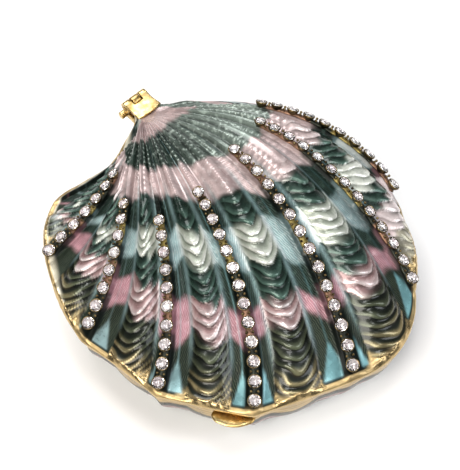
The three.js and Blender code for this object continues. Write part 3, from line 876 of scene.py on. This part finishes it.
def makeBase():
    s = columnPlaces(baseDetail["fine"], baseDetail["coarse"])
    top = -shell["seamGap"] / 2
    row, share, left, right = rowParts(s)
    carved = (row >= -1) & (row <= 6)
    v = np.clip((share - left) / (right - left), 0, 1)
    underStones = 0.55 * (1 - smooth(0, 0.13, np.minimum(share, 1 - share)))
    swell = np.where(carved, np.maximum(np.sin(math.pi * v) ** 0.8, underStones), 0.3)
    rimTop = rimPoint(s, (swell - 1) * shell["fluteDepth"] - shell["baseInset"])
    bowlTop = top - shell["baseLip"]
    rings = []
    turns = np.linspace(0, math.pi / 2, baseDetail["outside"])
    for turn in turns:
        rings.append(bowlPoint(rimTop, turn, shell["baseDepth"] + bowlTop, shell["foot"], bowlTop))
    under = np.tile(np.array([*shell["footCentre"], -shell["baseDepth"]]), (len(s), 1))
    rimRing = np.concatenate([rimTop, np.full((len(s), 1), top)], -1)
    hollowRim = rimPoint(s, -shell["baseWall"] - shell["baseInset"])
    hollowDepth = shell["baseDepth"] + top - shell["floorThickness"]
    innerFoot = tuple(f - 0.5 * shell["baseWall"] for f in shell["foot"])
    inside = [bowlPoint(hollowRim, turn, hollowDepth, innerFoot, top)
              for turn in np.linspace(0, math.pi / 2, baseDetail["inside"])]
    floor = np.tile(np.array([*shell["footCentre"], top - hollowDepth]), (len(s), 1))
    points = np.array([under, *rings[::-1], rimRing, *inside, floor])
    colours, edges, maps = paintBase(s, points)
    mesh = gridMesh("baseShell", points, {"enamel": colours, "edgeTone": edges}, maps)
    base = link("baseShell", mesh, "base")
    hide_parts("base_shell")
    base.data.materials.append(enamelMaterial("baseEnamel"))
    return base


fingerLip = {
    "station": 2.8, "root": -2.2, "tip": 2.2, "width": 8.0, "top": -0.45, "thickness": 0.9, "dish": 0.3,
}


def makeLip():   # the petal under the rim by which the box is opened
    root, tip = (rimPoint(fingerLip["station"], fingerLip[key]) for key in ("root", "tip"))
    middle, along = (root + tip) / 2, (tip - root) / 2
    side = np.array([-along[1], along[0]]) / np.linalg.norm(along) * fingerLip["width"] / 2
    bm = bmesh.new()
    bmesh.ops.create_uvsphere(bm, u_segments=48, v_segments=24, radius=1)
    for vert in bm.verts:
        u, v, w = vert.co
        radius = min(math.hypot(u, v), 1)
        rise = math.copysign(0.5 * math.sqrt(1 - radius ** 5), w) * fingerLip["thickness"]
        rise -= fingerLip["dish"] * (1 - radius ** 2) if w > 0 else 0
        ruffle = 1 + 0.05 * math.cos(5 * math.atan2(v, u))
        place = middle + along * u * min(ruffle, 1) + side * v
        vert.co = (*place, fingerLip["top"] - fingerLip["thickness"] / 2 + rise)
    bmesh.ops.recalc_face_normals(bm, faces=bm.faces)
    smoothFaces(bm)
    toFrame(bm)
    link("fingerLip", meshFrom(bm, "fingerLip"), "base").data.materials.append(goldPlate)


base = makeBase()
makeLip()
print("base is made:", len(base.data.polygons), "faces")


# Rows of stones
# Each row: number of stones, and the shares of the line from the beak at which the first and last one sit
stoneRows = {
    "a": (7, 0.485, 0.97), "b": (8, 0.5, 0.945), "c": (10, 0.495, 0.97), "d": (13, 0.405, 0.97),
    "e": (14, 0.345, 0.97), "f": (13, 0.365, 0.97), "g": (10, 0.42, 0.94),
}
setting = {
    "firstRadius": 1.02, "lastRadius": 1.17, "girdle": 1.12, "spread": 1.04,
    "railWidth": 1.6, "railHeight": 0.48, "fitGap": 0.25,
    "beadRadius": 0.27, "beadAside": 0.62, "beadHeight": 0.78,
}
brilliantForm = {
    "table": (8, 0.56, 0.31, 0.0), "upper": (8, 0.83, 0.17, 0.5), "girdleTop": (16, 1.0, 0.02, 0.0),
    "girdleFoot": (16, 1.0, -0.03, 0.0), "lower": (8, 0.5, -0.26, 0.5), "culet": (1, 0.0, -0.42, 0.0),
}


def brilliantMesh():   # a cut stone of unit radius, with its girdle at zero
    bm = bmesh.new()
    for count, radius, height, turn in brilliantForm.values():
        for k in range(count):
            angle = 2 * math.pi * (k + turn) / count
            bm.verts.new((radius * math.cos(angle), radius * math.sin(angle), height))
    bmesh.ops.convex_hull(bm, input=bm.verts)
    bmesh.ops.dissolve_limit(bm, angle_limit=math.radians(2), verts=bm.verts, edges=bm.edges)
    bmesh.ops.recalc_face_normals(bm, faces=bm.faces)
    return meshFrom(bm, "brilliant")


def cupMesh():   # a tapered cup with a turned-in lip, for a stone of unit radius
    bm = bmesh.new()
    profile = [(0.62, 0.0), (0.9, 0.45), (1.08, 0.8), (1.13, 1.0), (1.1, 1.13), (1.02, 1.15), (0.97, 1.05),
               (0.93, 0.9)]
    verts = [bm.verts.new((r, 0, z)) for r, z in profile]
    edges = [bm.edges.new(pair) for pair in zip(verts, verts[1:])]
    bmesh.ops.spin(bm, geom=verts + edges, cent=(0, 0, 0), axis=(0, 0, 1), angle=2 * math.pi, steps=20,
                   use_merge=True)
    inner = [e for e in bm.edges if all(abs(v.co.z - 0.9) < 1e-4 for v in e.verts)]
    foot = [e for e in bm.edges if all(v.co.z < 1e-4 for v in e.verts)]
    bmesh.ops.contextual_create(bm, geom=foot)
    made = bmesh.ops.extrude_edge_only(bm, edges=inner)["geom"]
    low = [v for v in made if isinstance(v, bmesh.types.BMVert)]
    bmesh.ops.scale(bm, verts=low, vec=(0.2, 0.2, 1.0))
    bmesh.ops.translate(bm, verts=low, vec=(0, 0, -0.38))
    bmesh.ops.contextual_create(bm, geom=[e for e in made if isinstance(e, bmesh.types.BMEdge)])
    bmesh.ops.recalc_face_normals(bm, faces=bm.faces)
    smoothFaces(bm)
    for face in bm.faces:
        middle = face.calc_center_median()
        if middle.z < 0.9 and middle.xy.length < 0.9 and face.normal.z > 0.1:
            face.material_index = 1   # the foil that lies behind the stone
    return meshFrom(bm, "cup")


def stoneSeat(s, t):   # foot of a stone, out, and onwards along its row
    up = domeNormal(s, t)
    lift = carving["stoneRib"] * smooth(0.04, 0.45, t) * (1 - 0.65 * smooth(0.88, 1, t)) + setting["fitGap"]
    ahead = domePoint(s, t + 0.005) - domePoint(s, t - 0.005)
    ahead = ahead / np.linalg.norm(ahead)
    return domePoint(s, t) + up * lift, up, ahead


def seatMatrix(place, up, ahead, size):
    side = np.cross(up, ahead)
    side = side / np.linalg.norm(side)
    ahead = np.cross(side, up)
    matrix = Matrix.Identity(4)
    for k, column in enumerate((ahead, side, up)):
        for r in range(3):
            matrix[r][k] = column[r] * size
    for r in range(3):
        matrix[r][3] = place[r]
    return matrix


def addCopy(bm, mesh, matrix):
    before = len(bm.verts)
    bm.from_mesh(mesh)
    bm.verts.ensure_lookup_table()
    bmesh.ops.transform(bm, matrix=matrix, verts=bm.verts[before:])


def railMesh(name, s, first, last, count):
    rows = count * 6
    around = np.linspace(0, 2 * math.pi, 13)
    start, stop = first - 0.012, min(last + 0.018, 0.992)
    rings = []
    for k in range(rows + 1):
        place, up, ahead = stoneSeat(s, start + (stop - start) * k / rows)
        side = np.cross(up, ahead)
        size = 0.05 if k in (0, rows) else 1.0
        wide = size * setting["railWidth"] / 2 * (0.9 + 0.1 * math.cos(2 * math.pi * k / 6))
        rise = size * setting["railHeight"] * np.clip(np.sin(around), -0.15, 1)
        rings.append(place + wide * np.cos(around)[:, None] * side + rise[:, None] * up)
    ends = [np.tile(rings[k].mean(0), (len(around), 1)) for k in (0, -1)]
    rings = [ends[0], *rings, ends[1]]
    shares = start + (stop - start) * np.clip(np.arange(-1, rows + 2), 0, rows) / rows
    band = sum((shares > bandEdge(k, s)).astype(int) for k in range(len(bandEdges)))
    colours = np.array([tones[n] for n in railTones] + [tones["mutedGold"]])[band]
    return gridMesh(name, np.array(rings), {"enamel": np.repeat(colours[:, None], len(around), 1)}, {})


def makeRow(letter, s):
    count, first, last = stoneRows[letter]
    brilliant, cup = brilliantMesh(), cupMesh()
    stones, cups = bmesh.new(), bmesh.new()
    shares = [(i / (count - 1)) ** setting["spread"] for i in range(count)]
    places = [first + (last - first) * share for share in shares]
    for t, share in zip(places, shares):
        place, up, ahead = stoneSeat(s, t)
        radius = setting["firstRadius"] + (setting["lastRadius"] - setting["firstRadius"]) * share
        turn = Matrix.Rotation(random.uniform(0, math.pi), 4, "Z")
        tilt = Matrix.Rotation(random.uniform(-0.06, 0.06), 4, "X")
        tilt = tilt @ Matrix.Rotation(random.uniform(-0.06, 0.06), 4, "Y")
        seat = seatMatrix(place, up, ahead, 1.0)
        addCopy(cups, cup, seat @ Matrix.Diagonal((radius, radius, 1, 1)))
        lifted = seat @ Matrix.Translation((0, 0, setting["girdle"] - 0.06)) @ Matrix.Scale(radius * 0.96, 4)
        addCopy(stones, brilliant, lifted @ tilt @ turn)
    for near, far in zip(places, places[1:]):   # two little gold beads in each gap
        place, up, ahead = stoneSeat(s, (near + far) / 2)
        seat = seatMatrix(place, up, ahead, 1.0)
        for aside in (-1, 1):
            bead = seat @ Matrix.Translation((0, aside * setting["beadAside"], setting["beadHeight"]))
            bmesh.ops.create_uvsphere(cups, u_segments=8, v_segments=6, radius=setting["beadRadius"],
                                      matrix=bead)
    smoothFaces(cups)
    pieces = []
    for name, bm, kind in (("stones", stones, "crystal"), ("cups", cups, "gold")):
        toFrame(bm)
        name += letter.upper()
        pieces.append(link(name, meshFrom(bm, name), "lid"))
    name = "rail" + letter.upper()
    rail = link(name, railMesh(name, s, first, last, count), "lid")
    pieces[0].data.materials.append(clearStone)
    pieces[1].data.materials.append(cupGold)
    pieces[1].data.materials.append(foil)
    rail.data.materials.append(railGold)
    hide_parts("stone_row_" + letter)
    bpy.data.meshes.remove(brilliant)
    bpy.data.meshes.remove(cup)


def crystalMaterial():   # clear, with the faintest uneven tint
    material, nodes, links = newMaterial("clearStone")
    surface = nodes["Principled BSDF"]
    surface.inputs["Transmission Weight"].default_value = 1.0
    surface.inputs["Roughness"].default_value = 0.0
    surface.inputs["IOR"].default_value = 1.56
    tint = nodes.new("ShaderNodeTexNoise")
    tint.inputs["Scale"].default_value = 300
    links.new(nodes.new("ShaderNodeTexCoord").outputs["Object"], tint.inputs["Vector"])
    shades = [(0.35, (1.0, 0.97, 0.98)), (0.65, (1.0, 1.0, 1.0))]
    links.new(rampNode(nodes, links, tint.outputs["Fac"], shades), surface.inputs["Base Color"])
    return material


def railMaterial():   # its tone changes with the enamel beside it
    material, plating = metalMaterial("railGold", "#8f7a3c", "#39301a", 0.35, 900, 0.5, 0.6)
    nodes, links = material.node_tree.nodes, material.node_tree.links
    tone = attribute(nodes, "enamel").outputs["Color"]
    for key, gain in (("Light", 1.3), ("Dark", 0.5)):
        links.new(mixNode(nodes, links, 1.0, tone, (gain, gain, gain, 1), "MULTIPLY"), plating.inputs[key])
    return material


clearStone = crystalMaterial()
cupGold = metalMaterial("cupGold", "#84714d", "#2b2418", 0.25, 700, 0.3)[0]
foil = metalMaterial("mirrorFoil", "#f6f1f0", "#dcd3d4", 0.16, 600, 0.2, 0.45)[0]
railGold = railMaterial()
for place, letter in enumerate(stoneRows):
    makeRow(letter, float(place))
print("stones are set")


# Hinge
hinge = {
    "x": 0.5, "y": 0.8, "z": 1.1,   # mm
    "pinRadius": 0.4, "pinClearance": 0.06, "overhang": 0.1,
    "knuckleRadius": 1.15, "outerKnuckle": 1.6, "middleKnuckle": 1.7, "gap": 0.25,
    "plateReach": 4.6, "plateRise": 0.55, "plateFront": 2.8, "plateWaist": 2.6, "plateThickness": 0.6,
    "slotReach": 0.25,   # share of the plate
    "webWidth": 5.0, "webThickness": 1.5, "rollRadius": 0.75, "rollOverhang": 0.9, "leaf": 0.7,
}
barrelHalf = hinge["outerKnuckle"] + hinge["gap"] + hinge["middleKnuckle"] / 2


def roundEdges(bm, edges, offset, segments=3):
    bmesh.ops.bevel(bm, geom=edges, offset=offset, segments=segments, profile=0.5, affect="EDGES",
                    material=-1)


def addBar(bm, radius, start, stop, y, z, rounding=0.12, segments=32):   # a bar along X with rounded ends
    before = set(bm.verts)
    place = Matrix.Translation(((start + stop) / 2, y, z)) @ Matrix.Rotation(math.pi / 2, 4, "Y")
    bmesh.ops.create_cone(bm, cap_ends=True, segments=segments, radius1=radius, radius2=radius,
                          depth=stop - start, matrix=place)
    made = [v for v in bm.verts if v not in before]
    ends = [e for v in made for e in v.link_edges if abs(e.verts[0].co.x - e.verts[1].co.x) < 1e-6]
    roundEdges(bm, list(set(ends)), rounding)


def addKnuckle(bm, start, stop, y, z, rounding=0.12, segments=32):   # a bored bar along X for the pin
    radius, bore, ease = hinge["knuckleRadius"], hinge["pinRadius"] + hinge["pinClearance"], 0.03
    side = [(ease, bore), (0, bore + ease), (0, radius - rounding - ease), (0, radius - rounding),
            (0.3 * rounding, radius - 0.3 * rounding), (rounding, radius)]
    outline = [(start + x, r) for x, r in side] + [(stop - x, r) for x, r in reversed(side)]
    verts = [bm.verts.new((x, y, z + r)) for x, r in outline]
    edges = [bm.edges.new((vert, verts[i - 1])) for i, vert in enumerate(verts)]
    bmesh.ops.spin(bm, geom=verts + edges, cent=(0, y, z), axis=(1, 0, 0), angle=2 * math.pi, steps=segments,
                   use_merge=True)


def addBlock(bm, low, high, rounding):
    before = set(bm.verts)
    middle = (Vector(low) + Vector(high)) / 2
    size = Vector(high) - Vector(low)
    bmesh.ops.create_cube(bm, size=1.0, matrix=Matrix.Translation(middle) @ Matrix.Diagonal((*size, 1)))
    made = [v for v in bm.verts if v not in before]
    edges = list({e for v in made for e in v.link_edges})
    roundEdges(bm, edges, rounding)


def finishHinge(name, bm, body, node):
    bmesh.ops.recalc_face_normals(bm, faces=bm.faces)
    smoothFaces(bm)
    toFrame(bm)
    piece = link(name, meshFrom(bm, name), body)
    piece.data.materials.append(goldPlate)
    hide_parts(node)


def makeHinge():
    x, y, z, radius = hinge["x"], hinge["y"], hinge["z"], hinge["knuckleRadius"]
    middle = hinge["middleKnuckle"] / 2
    # the lid's saddle-shaped plate, with a knuckle at each side
    bm = bmesh.new()
    bmesh.ops.create_grid(bm, x_segments=26, y_segments=16, size=0.5)
    slot = (middle + hinge["gap"]) / barrelHalf / 2
    cut = [face for face in bm.faces if abs(face.calc_center_median().x) < slot
           and 0.5 - face.calc_center_median().y < hinge["slotReach"]]
    bmesh.ops.delete(bm, geom=cut, context="FACES")
    for vert in bm.verts:
        across, share = vert.co.x * 2, 0.5 - vert.co.y   # share 0 at the knuckles, 1 at the front
        waist = math.sin(math.pi * min(share * 1.15, 1))
        half = barrelHalf + (hinge["plateFront"] - barrelHalf) * share
        half -= (barrelHalf - hinge["plateWaist"]) * waist
        front = hinge["plateReach"] * (share - 0.07 * across * across * share)
        sink = 0.22 * math.sin(math.pi * share) + 0.3 * share * across * across
        vert.co = (x + across * half, y - front, z + radius + hinge["plateRise"] * share - sink)
    bmesh.ops.recalc_face_normals(bm, faces=bm.faces)
    if sum(face.normal.z for face in bm.faces) < 0:
        bmesh.ops.reverse_faces(bm, faces=bm.faces)
    bmesh.ops.solidify(bm, geom=bm.faces[:], thickness=hinge["plateThickness"])
    sharp = [e for e in bm.edges if len(e.link_faces) == 2 and e.calc_face_angle(0) > 0.7]
    roundEdges(bm, sharp, 0.12, 2)
    for start in (-barrelHalf, middle + hinge["gap"]):
        addKnuckle(bm, x + start, x + start + hinge["outerKnuckle"], y, z)
    finishHinge("lidHinge", bm, "lid", "lid_hinge")
    # the base's knuckle on its web, with a rolled edge
    bm = bmesh.new()
    webTop = z - radius - hinge["gap"]
    addBar(bm, radius, x - middle, x + middle, y, z)
    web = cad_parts["base_hinge"]
    front = min(v.co.y for v in web.data.vertices) / mm - hingePlace.y
    addBlock(bm, (x - hinge["webWidth"] / 2, front, webTop - hinge["webThickness"]),
             (x + hinge["webWidth"] / 2, y + hinge["leaf"], webTop), 0.15)
    addBlock(bm, (x - middle, y, webTop - hinge["webThickness"] / 2), (x + middle, y + hinge["leaf"], z), 0.1)
    reach = barrelHalf + hinge["rollOverhang"]
    addBar(bm, hinge["rollRadius"], x - reach, x + reach, y + hinge["leaf"] / 2, webTop - hinge["rollRadius"],
           0.2)
    finishHinge("baseHinge", bm, "base", "base_hinge")
    bm = bmesh.new()
    reach = barrelHalf + hinge["overhang"]
    addBar(bm, hinge["pinRadius"], x - reach, x + reach, y, z, 0.1, 20)
    finishHinge("hingePin", bm, "base", "hinge_pin")


makeHinge()
print("hinge is made")
